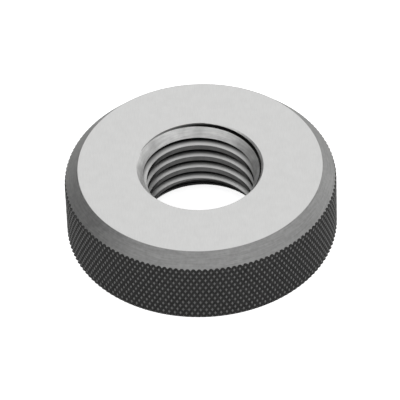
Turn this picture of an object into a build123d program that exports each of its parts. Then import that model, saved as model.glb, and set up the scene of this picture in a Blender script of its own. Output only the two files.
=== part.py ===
from build123d import *
import os
from math import ceil, cos, pi, radians, sin, tan

# Thread ring gauge: a hardened steel ring with a knurled rim, ground faces
# and a precision internal thread.  Millimetres, axis on Z, the ring stands
# on z = 0 and is centred on the origin.

# ---- chosen sizes ---------------------------------------------------------
outsideDiameter = 45.0      # over the tips of the knurl
ringHeight = 14.0
topChamfer = 2.2            # how far the upper chamfer cuts back the face
topChamferDrop = 2.45       # and how far it reaches down the rim
bottomChamfer = 1.2         # 45 degrees, between the lower face and the rim

knurlPitch = 1.27           # round the rim, 4/3 of the real 0.955 to keep the solid light
knurlAngle = 30.0           # between the crossed grooves and the axis
knurlDepth = 0.4            # from the tips of the diamonds to the grooves

mouthDiameter = 20.9        # countersink of the bore, at both faces
mouthAngle = 60.0           # its included angle

threadDiameter = 20.0       # nominal size of the screw that the gauge tests
threadPitch = 2.5
threadAngle = 60.0          # included angle of the thread form
crestWidth = 0.92           # flat on the thread ridges
reliefWidth = 0.5           # clearance slot along the bottom of the groove
reliefDepth = 0.6           # depth of the slot beyond the nominal size
grooveStart = 264.2         # angle from +X where the groove crosses z = 0

# ---- sizes that follow ----------------------------------------------------
rimRadius = outsideDiameter / 2
knurlCount = round(pi * outsideDiameter / knurlPitch)
halfTurn = pi / knurlCount                                # half a diamond, in radians
halfRise = rimRadius * halfTurn / tan(radians(knurlAngle))
halfRows = ceil(ringHeight / 2 / halfRise) + 1            # above and below mid height

mouthRadius = mouthDiameter / 2
flankSlope = tan(radians(threadAngle / 2))
pitchRadius = threadDiameter / 2 - 3 / 16 * threadPitch / flankSlope
crestRadius = pitchRadius - (threadPitch / 2 - crestWidth) / 2 / flankSlope
rootRadius = threadDiameter / 2 + reliefDepth
reliefRadius = pitchRadius + (threadPitch / 2 - reliefWidth) / 2 / flankSlope
mouthDepth = (mouthRadius - crestRadius) / tan(radians(mouthAngle / 2))


def rimSection():
    """Half the ring's section without the bore.  The chamfers run on past
    the rim, which the knurl sets."""
    over = 2 * knurlDepth
    topOver = over * topChamferDrop / topChamfer
    outline = [
        (0, 0),
        (rimRadius - bottomChamfer, 0),
        (rimRadius + over, bottomChamfer + over),
        (rimRadius + over, ringHeight - topChamferDrop - topOver),
        (rimRadius - topChamfer, ringHeight),
        (0, ringHeight),
    ]
    return make_face(Plane.XZ * Polyline(outline, close=True))


def knurlPoint(turn, row):
    """A point of the knurl, by turns a diamond's tip and a crossing of grooves."""
    radius = rimRadius - knurlDepth * ((turn + row) % 2)
    angle = turn * halfTurn
    return (radius * cos(angle), radius * sin(angle), ringHeight / 2 + row * halfRise)


def facet(*corners):
    return make_face(Polyline(*corners, close=True))


def knurlWedge():
    """A wedge of knurled bar from the axis out, one diamond wide."""
    low = (0, 0, knurlPoint(0, -halfRows)[2])
    high = (0, 0, knurlPoint(0, halfRows)[2])
    faces = []
    for side in (-1, 1):
        edge = [knurlPoint(side, row) for row in range(-halfRows, halfRows + 1)]
        faces.append(facet(low, *edge, high))
        for row in range(-halfRows, halfRows):
            a, b = knurlPoint(0, row), knurlPoint(side, row)
            c, d = knurlPoint(side, row + 1), knurlPoint(0, row + 1)
            # two sides of a groove, whose bottom joins the cell's low corners
            if row % 2 == 0:
                faces += [facet(a, b, d), facet(b, c, d)]
            else:
                faces += [facet(a, b, c), facet(a, c, d)]
    for end, row in ((low, -halfRows), (high, halfRows)):
        faces.append(facet(end, *[knurlPoint(turn, row) for turn in (-1, 0, 1)]))
    return Solid(Shell(faces))


def isSeam(face):
    """Whether a face is one of a wedge's two flat sides, which hold the axis."""
    across = face.normal_at()
    return abs(across.Z) < 1e-6 and abs(across.dot(face.center())) < 1e-6


def knurledDisc():
    """One wedge is turned to shape, repeated round the axis and sewn up."""
    wedge = knurlWedge() & extrude(rimSection(), knurlPitch, both=True)
    skin = [face for face in wedge.faces() if not isSeam(face)]
    turns = [Rot(0, 0, 360 / knurlCount * i) for i in range(knurlCount)]
    return Solid(Shell([turn * face for turn in turns for face in skin])).clean()


def plainBore():
    """What the bore takes out at the thread's crests and the two countersinks."""
    outline = [
        (0, 0),
        (mouthRadius, 0),
        (crestRadius, mouthDepth),
        (crestRadius, ringHeight - mouthDepth),
        (mouthRadius, ringHeight),
        (0, ringHeight),
    ]
    return revolve(make_face(Plane.XZ * Polyline(outline, close=True)), Axis.Z)


def grooveHalfWidth(radius):
    return threadPitch / 4 + (pitchRadius - radius) * flankSlope


def threadGroove():
    """The right-hand helical groove, longer than the bore at both ends."""
    innerRadius = crestRadius - crestWidth / 8
    half = [
        (innerRadius, grooveHalfWidth(innerRadius)),
        (reliefRadius, reliefWidth / 2),
        (rootRadius, reliefWidth / 2),
    ]
    outline = half + [(r, -z) for r, z in reversed(half)]
    length = (ceil(ringHeight / threadPitch) + 2) * threadPitch
    path = Helix(threadPitch, length, pitchRadius)
    axis = Line((0, 0, 0), (0, 0, length))
    section = make_face(Plane.XZ * Polyline(outline, close=True))
    groove = sweep(section, path=path, binormal=axis)
    return Pos(0, 0, -threadPitch) * Rot(0, 0, grooveStart) * groove


gaugeRing = knurledDisc() - (plainBore() + threadGroove())

os.makedirs("parts", exist_ok=True)
export_step(gaugeRing, "parts/gauge_ring.step")
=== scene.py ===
import bpy, bmesh
from math import ceil, cos, pi, radians, sin, tan
from mathutils import Matrix, Vector


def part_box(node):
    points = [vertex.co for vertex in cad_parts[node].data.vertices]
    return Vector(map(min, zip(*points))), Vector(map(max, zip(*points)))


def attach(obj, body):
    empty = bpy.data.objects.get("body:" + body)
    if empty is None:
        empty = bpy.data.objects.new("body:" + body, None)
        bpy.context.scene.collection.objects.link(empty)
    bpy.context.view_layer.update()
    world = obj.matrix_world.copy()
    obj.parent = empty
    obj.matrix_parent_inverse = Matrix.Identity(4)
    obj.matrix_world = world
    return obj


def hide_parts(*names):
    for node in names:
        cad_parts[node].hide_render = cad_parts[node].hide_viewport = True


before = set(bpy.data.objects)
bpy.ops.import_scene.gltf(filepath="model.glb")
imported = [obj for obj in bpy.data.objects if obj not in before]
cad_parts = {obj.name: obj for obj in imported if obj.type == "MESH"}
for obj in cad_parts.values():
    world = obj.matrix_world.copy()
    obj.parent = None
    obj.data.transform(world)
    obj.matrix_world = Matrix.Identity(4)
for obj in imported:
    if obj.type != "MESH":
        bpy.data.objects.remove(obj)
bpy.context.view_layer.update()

mm = 0.001
weld = 0.0001 * mm               # points nearer than this are one
hair = 0.001 * mm                # lengths and misfits under this don't count
nodeLow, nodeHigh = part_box("gauge_ring")
ringHeight = nodeHigh[2] - nodeLow[2]
rimRadius = (nodeHigh[0] - nodeLow[0]) / 2


def profileVerts(bm, points, turn=0.0):
    verts = []
    for radius, height in points:
        verts.append(bm.verts.new((radius * cos(turn), radius * sin(turn), height)))
    return verts


def closeShell(bm):
    bmesh.ops.remove_doubles(bm, verts=bm.verts, dist=weld)
    bmesh.ops.recalc_face_normals(bm, faces=bm.faces)


def meshObject(name, bm):
    mesh = bpy.data.meshes.new(name)
    bm.to_mesh(mesh)
    bm.free()
    obj = bpy.data.objects.new(name, mesh)
    bpy.context.scene.collection.objects.link(obj)
    return obj


thread = {
    "diameter": 20.0 * mm,
    "pitch": 2.5 * mm,
    "flankAngle": 30.0,          # degrees from a plane across the axis
    "crestWidth": 0.92 * mm,
    "reliefWidth": 0.5 * mm,     # clearance slot along the bottom of the groove
    "rootRadius": 10.57 * mm,
    "start": 264.2,              # degrees, where a groove crosses the lower face
    "stepsPerTurn": 180,
}
flankSlope = tan(radians(thread["flankAngle"]))
# the pitch line lies 3/8 of the sharp form's height inside the nominal size
pitchRadius = thread["diameter"] / 2 - 3 / 16 * thread["pitch"] / flankSlope
crestRadius = pitchRadius - (thread["pitch"] / 2 - thread["crestWidth"]) / 2 / flankSlope
reliefRadius = pitchRadius + (thread["pitch"] / 2 - thread["reliefWidth"]) / 2 / flankSlope


def threadGroove():
    pitch = thread["pitch"]
    half = thread["reliefWidth"] / 2
    inner = crestRadius - thread["crestWidth"] / 8          # clear of the crests
    innerHalf = pitch / 4 + (pitchRadius - inner) * flankSlope
    low = -pitch                 # the groove starts a turn below the ring
    points = [
        (inner, low - innerHalf),
        (reliefRadius, low - half),
        (thread["rootRadius"], low - half),
        (thread["rootRadius"], low + half),
        (reliefRadius, low + half),
        (inner, low + innerHalf),
    ]
    turns = ceil(ringHeight / pitch) + 2
    steps = turns * thread["stepsPerTurn"]
    bm = bmesh.new()
    section = bm.faces.new(profileVerts(bm, points, radians(thread["start"])))
    bmesh.ops.spin(bm, geom=[section], cent=(0, 0, 0), axis=(0, 0, 1),
                   dvec=(0, 0, pitch * turns / steps), angle=2 * pi * turns, steps=steps)
    closeShell(bm)
    return meshObject("threadGroove", bm)


blank = {                        # the turned body, before knurling and threading
    "topChamfer": 2.2 * mm,      # across the face
    "topChamferDrop": 2.45 * mm,
    "bottomChamfer": 1.2 * mm,
    "mouthRadius": 10.45 * mm,
    "mouthHalfAngle": 30.0,      # degrees from the axis
    "edgeBreak": 0.07 * mm,      # stoned edges of the two faces
    "rimSpare": 0.8 * mm,        # the rim is left large, the knurl sets it
    "steps": 288,
}


def turnedBlank():
    spare, edge, top = blank["rimSpare"], blank["edgeBreak"], ringHeight
    topSpare = spare * blank["topChamferDrop"] / blank["topChamfer"]
    mouth = blank["mouthRadius"]
    mouthDepth = (mouth - crestRadius) / tan(radians(blank["mouthHalfAngle"]))
    faceEdge = rimRadius - blank["topChamfer"]
    lowEdge = rimRadius - blank["bottomChamfer"]
    points = [
        (crestRadius, mouthDepth),
        (mouth - edge / 2, edge),
        (mouth + edge / 2, 0),
        (lowEdge - edge, 0),
        (lowEdge + edge / 3, edge * 2 / 3),
        (rimRadius + spare, blank["bottomChamfer"] + spare),
        (rimRadius + spare, top - blank["topChamferDrop"] - topSpare),
        (faceEdge + edge / 3, top - edge * 2 / 3),
        (faceEdge - edge, top),
        (mouth + edge / 2, top),
        (mouth - edge / 2, top - edge),
        (crestRadius, top - mouthDepth),
    ]
    bm = bmesh.new()
    outline = profileVerts(bm, points)
    edges = [bm.edges.new((outline[i - 1], outline[i])) for i in range(len(outline))]
    bmesh.ops.spin(bm, geom=edges + outline, cent=(0, 0, 0), axis=(0, 0, 1),
                   angle=2 * pi, steps=blank["steps"], use_merge=True)
    closeShell(bm)
    return meshObject("turnedBlank", bm)


knurl = {                        # crossed grooves, which leave diamonds standing
    "around": 148,
    "rowHeight": 1.657 * mm,
    "turn": 0.5,                 # degrees
    # from the bottom of a groove to the flat tip: steps in and out
    "slope": [(0.09 * mm, 0.03 * mm), (0.17 * mm, 0.22 * mm), (0.04 * mm, 0.03 * mm)],
}


def knurledBar():
    step = 2 * pi / knurl["around"]
    rows = ceil(ringHeight / knurl["rowHeight"]) + 2        # past both faces
    base = rimRadius - sum(rise for width, rise in knurl["slope"])
    bm = bmesh.new()
    bmesh.ops.create_grid(bm, x_segments=1, y_segments=rows, size=0.5)
    cell = (2 * base * sin(step / 2), rows * knurl["rowHeight"], 1)
    bmesh.ops.scale(bm, vec=cell, verts=bm.verts)
    # the strip is stood up, faced outwards and turned to its start
    stand = Matrix.Rotation(pi / 2, 4, "Z") @ Matrix.Rotation(pi / 2, 4, "X")
    place = Matrix.Translation((base * cos(step / 2), 0, ringHeight / 2))
    turn = Matrix.Rotation(radians(knurl["turn"]), 4, "Z")
    bmesh.ops.transform(bm, matrix=turn @ place @ stand, verts=bm.verts)
    bmesh.ops.poke(bm, faces=bm.faces)
    strip = list(bm.verts) + list(bm.edges) + list(bm.faces)
    bmesh.ops.spin(bm, geom=strip, cent=(0, 0, 0), axis=(0, 0, 1),
                   angle=2 * pi - step, steps=knurl["around"] - 1, use_duplicate=True)
    bmesh.ops.remove_doubles(bm, verts=bm.verts, dist=weld)
    # the square cells' own edges go, which leaves diamonds
    straight = []
    for edge in bm.edges:
        a, b = edge.verts[0].co, edge.verts[1].co
        level = abs(a.z - b.z) < hair
        upright = (a.xy - b.xy).length < hair
        if (level or upright) and len(edge.link_faces) == 2:
            straight.append(edge)
    bmesh.ops.dissolve_edges(bm, edges=straight, use_verts=False)
    bmesh.ops.recalc_face_normals(bm, faces=bm.faces)
    diamonds = [face for face in bm.faces if len(face.verts) == 4]
    for width, rise in knurl["slope"]:
        bmesh.ops.inset_individual(bm, faces=diamonds, thickness=width, depth=rise,
                                   use_even_offset=True)
    rims = [edge for edge in bm.edges if edge.is_boundary]
    bmesh.ops.holes_fill(bm, edges=rims, sides=0)
    closeShell(bm)
    return meshObject("knurledBar", bm)


def combine(target, tool, operation):
    boolean = target.modifiers.new("cut", "BOOLEAN")
    boolean.operation = operation
    boolean.solver = "MANIFOLD"
    boolean.object = tool
    graph = bpy.context.evaluated_depsgraph_get()
    result = bpy.data.meshes.new_from_object(target.evaluated_get(graph))
    target.modifiers.clear()
    target.data = result
    bpy.data.objects.remove(tool)


def clearSlivers(obj):
    # the cuts leave a few edges under a micrometre long
    bm = bmesh.new()
    bm.from_mesh(obj.data)
    bmesh.ops.dissolve_degenerate(bm, dist=hair, edges=bm.edges)
    bm.to_mesh(obj.data)
    bm.free()


def buildRing():
    ring = knurledBar()
    combine(ring, turnedBlank(), "INTERSECT")
    combine(ring, threadGroove(), "DIFFERENCE")
    clearSlivers(ring)
    ring.name = ring.data.name = "gaugeRing"
    print("ring knurled, turned and threaded:", len(ring.data.polygons), "faces")
    return ring


# Greys run from dark to light with the marks.  Fineness is in marks per mm,
# length and patchSize are in mm, and grazing is the share of the sheen that
# is kept at a flat angle.
finish = {
    "groundFace": {
        "dark": 0.63, "light": 0.68, "roughness": (0.34, 0.39), "relief": 0.0006 * mm,
        "marks": "grindLines", "fineness": 6.0, "length": 1.5, "patchSize": 2.0,
    },
    "turnedChamfer": {
        "dark": 0.27, "light": 0.37, "roughness": (0.46, 0.60), "relief": 0.0030 * mm,
        "marks": "latheRings", "fineness": 5.0, "length": 3.0, "patchSize": 0.6,
        "grazing": 0.5,
    },
    "knurledRim": {
        "dark": 0.032, "light": 0.050, "roughness": (0.50, 0.65), "relief": 0.0030 * mm,
        "marks": "latheRings", "fineness": 3.0, "length": 1.0, "patchSize": 0.8,
        "grazing": 0.6, "tip": 0.145, "tipDepth": 0.10 * mm,
    },
    "turnedMouth": {
        "dark": 0.62, "light": 0.90, "roughness": (0.46, 0.60), "relief": 0.0040 * mm,
        "marks": "latheRings", "fineness": 4.0, "length": 6.0, "patchSize": 1.5,
    },
    "lappedFlank": {
        "dark": 0.50, "light": 0.60, "roughness": (0.30, 0.38), "relief": 0.0005 * mm,
        "marks": "latheRings", "fineness": 6.0, "length": 12.0, "patchSize": 2.0,
        # root is the grey of the painted shade deep in the groove, from rootFrom to rootTo
        "root": 0.02, "rootFrom": 9.15 * mm, "rootTo": 9.75 * mm,
    },
    # boreCrest's dark grey is painted shade, for the dark surroundings that the crests reflect
    "boreCrest": {
        "dark": 0.08, "light": 0.12, "roughness": (0.32, 0.42), "relief": 0.0020 * mm,
        "marks": "latheRings", "fineness": 5.0, "length": 6.0, "patchSize": 1.0,
        "grazing": 0.15,
    },
    # reliefSlot's near-black grey is painted shade in the deep slot
    "reliefSlot": {
        "dark": 0.020, "light": 0.035, "roughness": (0.55, 0.70), "relief": 0.0020 * mm,
        "marks": "latheRings", "fineness": 4.0, "length": 4.0, "patchSize": 1.0,
        # open is the grey of the painted light where the slot runs out through a face
        "open": 0.45, "openFrom": 0.45 * mm, "openTo": 0.15 * mm,
    },
}
toneFrom, toneTo = 0.35, 0.65    # the middle of the noise takes up the whole grey scale
blueShare = 0.992                # of the other two colours, for a trace of warmth


def addNode(tree, kind, **settings):
    node = tree.nodes.new(kind)
    for name, value in settings.items():
        setattr(node, name, value)
    return node


def feed(tree, socket, value):
    if isinstance(value, bpy.types.NodeSocket):
        tree.links.new(value, socket)
    else:
        socket.default_value = value


def compute(tree, operation, *values):
    node = addNode(tree, "ShaderNodeMath", operation=operation)
    for socket, value in zip(node.inputs, values):
        feed(tree, socket, value)
    return node.outputs[0]


def ramp(tree, value, start, end, low=0.0, high=1.0):
    node = addNode(tree, "ShaderNodeMapRange")
    limits = {"From Min": start, "From Max": end, "To Min": low, "To Max": high}
    for label, limit in limits.items():
        node.inputs[label].default_value = limit
    feed(tree, node.inputs["Value"], value)
    return node.outputs[0]


def blend(tree, share, low, high):
    node = addNode(tree, "ShaderNodeMix", data_type="RGBA")
    feed(tree, node.inputs["Factor"], share)
    feed(tree, node.inputs[6], low)          # the node's two colour sockets
    feed(tree, node.inputs[7], high)
    return node.outputs[2]


def grey(value):
    return (value, value, value * blueShare, 1)


def newMaterial(name):
    material = bpy.data.materials.new(name)
    material.use_nodes = True
    return material, material.node_tree.nodes["Principled BSDF"]


def newGroup(name, inputs, output):
    group = bpy.data.node_groups.new(name, "ShaderNodeTree")
    for label, value in inputs.items():
        socket = group.interface.new_socket(label, in_out="INPUT", socket_type="NodeSocketFloat")
        socket.default_value = value
    group.interface.new_socket(output, in_out="OUTPUT", socket_type="NodeSocketFloat")
    given = addNode(group, "NodeGroupInput").outputs
    return group, given, addNode(group, "NodeGroupOutput").inputs[output]


def placeGroup(tree, group, values):
    node = addNode(tree, "ShaderNodeGroup", node_tree=group)
    for label, value in values.items():
        node.inputs[label].default_value = value
    return node.outputs[0]


def objectPlace(tree):
    place = addNode(tree, "ShaderNodeTexCoord").outputs["Object"]
    apart = addNode(tree, "ShaderNodeSeparateXYZ")
    feed(tree, apart.inputs[0], place)
    return place, apart.outputs


def ringPlace(tree):
    # radius and height of a point, and its direction from the ring's axis
    x, y, z = objectPlace(tree)[1]
    squares = compute(tree, "ADD", compute(tree, "MULTIPLY", x, x), compute(tree, "MULTIPLY", y, y))
    radius = compute(tree, "SQRT", squares)
    return radius, z, compute(tree, "DIVIDE", x, radius), compute(tree, "DIVIDE", y, radius)


def latheRings():
    # rings round the axis, as a turning tool leaves, that drift as they go round
    tree, given, result = newGroup("latheRings", {"Marks per mm": 5.0, "Length": 3.0}, "Marks")
    radius, height, x, y = ringPlace(tree)
    fine = compute(tree, "MULTIPLY", given["Marks per mm"], 1 / mm)
    drift = compute(tree, "DIVIDE", rimRadius / mm, given["Length"])
    across = addNode(tree, "ShaderNodeCombineXYZ")
    feed(tree, across.inputs[0], compute(tree, "MULTIPLY", radius, fine))
    feed(tree, across.inputs[1], compute(tree, "MULTIPLY", height, fine))
    feed(tree, across.inputs[2], compute(tree, "MULTIPLY", x, drift))
    noise = addNode(tree, "ShaderNodeTexNoise", noise_dimensions="4D")
    noise.inputs["Scale"].default_value = 1.0
    noise.inputs["Detail"].default_value = 2.0
    feed(tree, noise.inputs["Vector"], across.outputs[0])
    feed(tree, noise.inputs["W"], compute(tree, "MULTIPLY", y, drift))
    feed(tree, result, noise.outputs[0])
    return tree


def grindLines():
    # straight fine lines across a face, as a surface grinder leaves
    tree, given, result = newGroup("grindLines", {"Marks per mm": 7.0, "Length": 5.0}, "Marks")
    x, y = objectPlace(tree)[1][:2]
    fine = compute(tree, "MULTIPLY", given["Marks per mm"], 1 / mm)
    along = compute(tree, "DIVIDE", 1 / mm, given["Length"])
    across = addNode(tree, "ShaderNodeCombineXYZ")
    feed(tree, across.inputs[0], compute(tree, "MULTIPLY", x, fine))
    feed(tree, across.inputs[1], compute(tree, "MULTIPLY", y, along))
    noise = addNode(tree, "ShaderNodeTexNoise")
    noise.inputs["Scale"].default_value = 1.0
    noise.inputs["Detail"].default_value = 2.0
    feed(tree, noise.inputs["Vector"], across.outputs[0])
    feed(tree, result, noise.outputs[0])
    return tree


def patches():
    # soft uneven patches of tone, as oil, handling and heat treatment leave
    tree, given, result = newGroup("patches", {"Size": 1.0}, "Patches")
    noise = addNode(tree, "ShaderNodeTexNoise")
    noise.inputs["Detail"].default_value = 3.0
    feed(tree, noise.inputs["Vector"], objectPlace(tree)[0])
    feed(tree, noise.inputs["Scale"], compute(tree, "DIVIDE", 1 / mm, given["Size"]))
    feed(tree, result, noise.outputs[0])
    return tree


def brightTips(tree, color, values):
    # lighter on the flat tips of the diamonds
    depth = values["tipDepth"]
    worn = ramp(tree, ringPlace(tree)[0], rimRadius - depth, rimRadius - depth / 4)
    return blend(tree, worn, color, grey(values["tip"]))


def paintedRootShade(tree, color, values):
    # painted shade, darker deep in the groove towards the slot, where little light reaches
    deep = ramp(tree, ringPlace(tree)[0], values["rootFrom"], values["rootTo"])
    return blend(tree, deep, color, grey(values["root"]))


def paintedSlotEndLight(tree, color, values):
    # painted light, lighter where the slot runs out through a face and lies open to the lamps
    middle = ringHeight / 2
    apart = compute(tree, "ABSOLUTE", compute(tree, "SUBTRACT", ringPlace(tree)[1], middle))
    near = ramp(tree, apart, middle - values["openFrom"], middle - values["openTo"])
    return blend(tree, near, color, grey(values["open"]))


def steel(name, groups):
    values = finish[name]
    material, shader = newMaterial(name)
    tree = material.node_tree
    shader.inputs["Metallic"].default_value = 1.0
    shader.inputs["Specular Tint"].default_value = grey(values.get("grazing", 1.0))
    lines = {"Marks per mm": values["fineness"], "Length": values["length"]}
    marks = placeGroup(tree, groups[values["marks"]], lines)
    patchy = placeGroup(tree, groups["patches"], {"Size": values["patchSize"]})
    mean = compute(tree, "MULTIPLY", compute(tree, "ADD", marks, patchy), 0.5)
    tone = ramp(tree, mean, toneFrom, toneTo)
    color = blend(tree, tone, grey(values["dark"]), grey(values["light"]))
    for label, change in (("tip", brightTips), ("root", paintedRootShade), ("open", paintedSlotEndLight)):
        if label in values:
            color = change(tree, color, values)
    feed(tree, shader.inputs["Base Color"], color)
    feed(tree, shader.inputs["Roughness"], ramp(tree, patchy, 0.0, 1.0, *values["roughness"]))
    bump = addNode(tree, "ShaderNodeBump")
    bump.inputs["Strength"].default_value = 1.0
    bump.inputs["Distance"].default_value = values["relief"]
    feed(tree, bump.inputs["Height"], marks)
    feed(tree, shader.inputs["Normal"], bump.outputs[0])
    return material


zones = {                        # least tilt of a facet's normal up or down, at most 1
    "face": 0.99,
    "slot": 0.95,
    "flank": 0.80,
    "chamfer": 0.55,
    "mouth": 0.30,
    "slotDepth": 0.5 * mm,       # within the mouth's radius, where crests give way to slot
    "sharpAngle": 20.0,          # degrees between facets that meet in an edge
}


def zoneOf(face):
    radius, tilt = face.center.xy.length, abs(face.normal.z)
    mouth, edge = blank["mouthRadius"], blank["edgeBreak"]
    atFace = min(face.center.z, ringHeight - face.center.z) < 2 * hair
    if radius > mouth + edge and tilt > zones["face"] and atFace:
        return "groundFace"
    if radius > thread["rootRadius"] + edge:
        return "turnedChamfer" if tilt > zones["chamfer"] else "knurledRim"
    if tilt > zones["slot"]:
        return "reliefSlot"
    if tilt > zones["flank"]:
        return "lappedFlank"
    # painted shade: the lower countersink takes the crests' dark grey where the upper one has the
    # mouth's light grey
    if tilt > zones["mouth"]:    # the lower countersink is as dark as the crests
        return "turnedMouth" if face.center.z > ringHeight / 2 else "boreCrest"
    return "boreCrest" if radius < mouth - zones["slotDepth"] else "reliefSlot"


def finishRing(ring):
    groups = {"latheRings": latheRings(), "grindLines": grindLines(), "patches": patches()}
    mesh = ring.data
    mesh.materials.clear()
    names = list(finish)
    for name in names:
        mesh.materials.append(steel(name, groups))
    for face in mesh.polygons:
        face.material_index = names.index(zoneOf(face))
    mesh.shade_smooth()
    mesh.set_sharp_from_angle(angle=radians(zones["sharpAngle"]))
    print("ring finished in", len(names), "kinds of steel")


ring = buildRing()
finishRing(ring)
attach(ring, "root")
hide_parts("gauge_ring")

ground = {
    "size": 3.0,
    "drop": 0.02 * mm,           # clear of the lower face
    "color": 0.85,
    "glow": 0.82,                # in view and in reflections, over its own colour
}


def buildFloor():
    bm = bmesh.new()
    bmesh.ops.create_grid(bm, x_segments=1, y_segments=1, size=ground["size"] / 2)
    bmesh.ops.translate(bm, vec=(0, 0, -ground["drop"]), verts=bm.verts)
    floor = meshObject("floor", bm)
    material, shader = newMaterial("floorWhite")
    tree = material.node_tree
    shade = ground["color"]
    shader.inputs["Base Color"].default_value = (shade, shade, shade, 1)
    shader.inputs["Roughness"].default_value = 1.0
    shader.inputs["Specular IOR Level"].default_value = 0.0
    shader.inputs["Emission Color"].default_value = (1, 1, 1, 1)
    path = addNode(tree, "ShaderNodeLightPath").outputs
    seen = compute(tree, "MAXIMUM", path["Is Camera Ray"], path["Is Glossy Ray"])
    seen = compute(tree, "MAXIMUM", seen, path["Is Transmission Ray"])
    glow = compute(tree, "MULTIPLY", seen, ground["glow"])
    feed(tree, shader.inputs["Emission Strength"], glow)
    # clear from below, so that the lower face can be looked at
    mixed = addNode(tree, "ShaderNodeMixShader")
    feed(tree, mixed.inputs[0], addNode(tree, "ShaderNodeNewGeometry").outputs["Backfacing"])
    feed(tree, mixed.inputs[1], shader.outputs[0])
    feed(tree, mixed.inputs[2], addNode(tree, "ShaderNodeBsdfTransparent").outputs[0])
    feed(tree, tree.nodes["Material Output"].inputs["Surface"], mixed.outputs[0])
    floor.data.materials.append(material)


flagCard = {                     # dark and out of sight, for the steel to reflect
    "turn": 160,                 # degrees round from the right
    "distance": 0.32,
    "thickness": 0.005,
    "width": 0.48,
    "height": 0.27,
    "color": 0.02,
    "roughness": 0.9,
}


def buildFlag():
    bm = bmesh.new()
    bmesh.ops.create_cube(bm, size=1.0)
    size = (flagCard["thickness"], flagCard["width"], flagCard["height"])
    bmesh.ops.scale(bm, vec=size, verts=bm.verts)
    bmesh.ops.translate(bm, vec=(flagCard["distance"], 0, flagCard["height"] / 2), verts=bm.verts)
    turn = Matrix.Rotation(radians(flagCard["turn"]), 3, "Z")
    bmesh.ops.rotate(bm, matrix=turn, verts=bm.verts)
    flag = meshObject("flag", bm)
    material, shader = newMaterial("flagBlack")
    shade = flagCard["color"]
    shader.inputs["Base Color"].default_value = (shade, shade, shade, 1)
    shader.inputs["Roughness"].default_value = flagCard["roughness"]
    flag.data.materials.append(material)
    flag.visible_camera = False


studio = {
    "world": 0.40,
    "distance": 1.2,             # from the middle of the ring's lower face to each softbox
    "softboxes": {               # degrees round from the right and up, width, height, brightness
        "back": (90, 45, 1.3, 0.9, 0.53),
        "top": (-90, 85, 2.6, 1.1, 0.42),
        "front": (-90, 42, 1.0, 0.7, 0.50),
        "frontRight": (-38, 14, 1.1, 0.7, 0.75),
        "frontLeft": (-132, 14, 0.9, 0.7, 0.60),
        "right": (35, 18, 1.1, 0.7, 0.60),
    },
}


def softbox(name, turn, lift, width, height, brightness):
    light = bpy.data.lights.new(name, "AREA")
    light.shape = "RECTANGLE"
    light.size, light.size_y = width, height
    light.energy = 4 * width * height * brightness          # as bright at any size
    obj = bpy.data.objects.new(name, light)
    bpy.context.scene.collection.objects.link(obj)
    turn, lift = radians(turn), radians(lift)
    away = Vector((cos(turn) * cos(lift), sin(turn) * cos(lift), sin(lift)))
    obj.location = studio["distance"] * away
    obj.rotation_euler = (-obj.location).to_track_quat("-Z", "Y").to_euler()


def buildLight():
    world = bpy.data.worlds.new("studio")
    bpy.context.scene.world = world
    world.use_nodes = True
    sky = world.node_tree.nodes["Background"]
    sky.inputs["Color"].default_value = (1, 1, 1, 1)
    sky.inputs["Strength"].default_value = studio["world"]
    for name, values in studio["softboxes"].items():
        softbox(name, *values)


lens = {
    "elevation": 42.9,           # degrees
    "roll": 2.15,
    "distance": 0.7832,          # from the middle of the upper face
    "drop": 0.00559,             # how far under that point it aims
    "focalLength": 427.4,        # mm
    "sensorWidth": 36,           # mm
    "near": 0.05,
    "far": 10,
}


def buildCamera():
    camera = bpy.data.cameras.new("camera")
    obj = bpy.data.objects.new("camera", camera)
    bpy.context.scene.collection.objects.link(obj)
    bpy.context.scene.camera = obj
    lift, roll = radians(lens["elevation"]), radians(lens["roll"])
    middle = Vector((0, 0, ringHeight))
    place = middle + lens["distance"] * Vector((0, -cos(lift), sin(lift)))
    up = Vector((sin(roll), sin(lift) * cos(roll), cos(lift) * cos(roll)))
    away = (place - middle + up * lens["drop"]).normalized()
    level = Vector((0, 0, 1)).cross(away).normalized()
    right = Matrix.Rotation(-roll, 3, away) @ level
    facing = Matrix((right, away.cross(right), away)).transposed()
    obj.matrix_world = Matrix.Translation(place) @ facing.to_4x4()
    camera.sensor_width = lens["sensorWidth"]
    camera.lens = lens["focalLength"]
    camera.clip_start = lens["near"]
    camera.clip_end = lens["far"]


buildFloor()
buildFlag()
buildLight()
buildCamera()
bpy.context.scene.view_settings.view_transform = "Standard"
print("studio set")
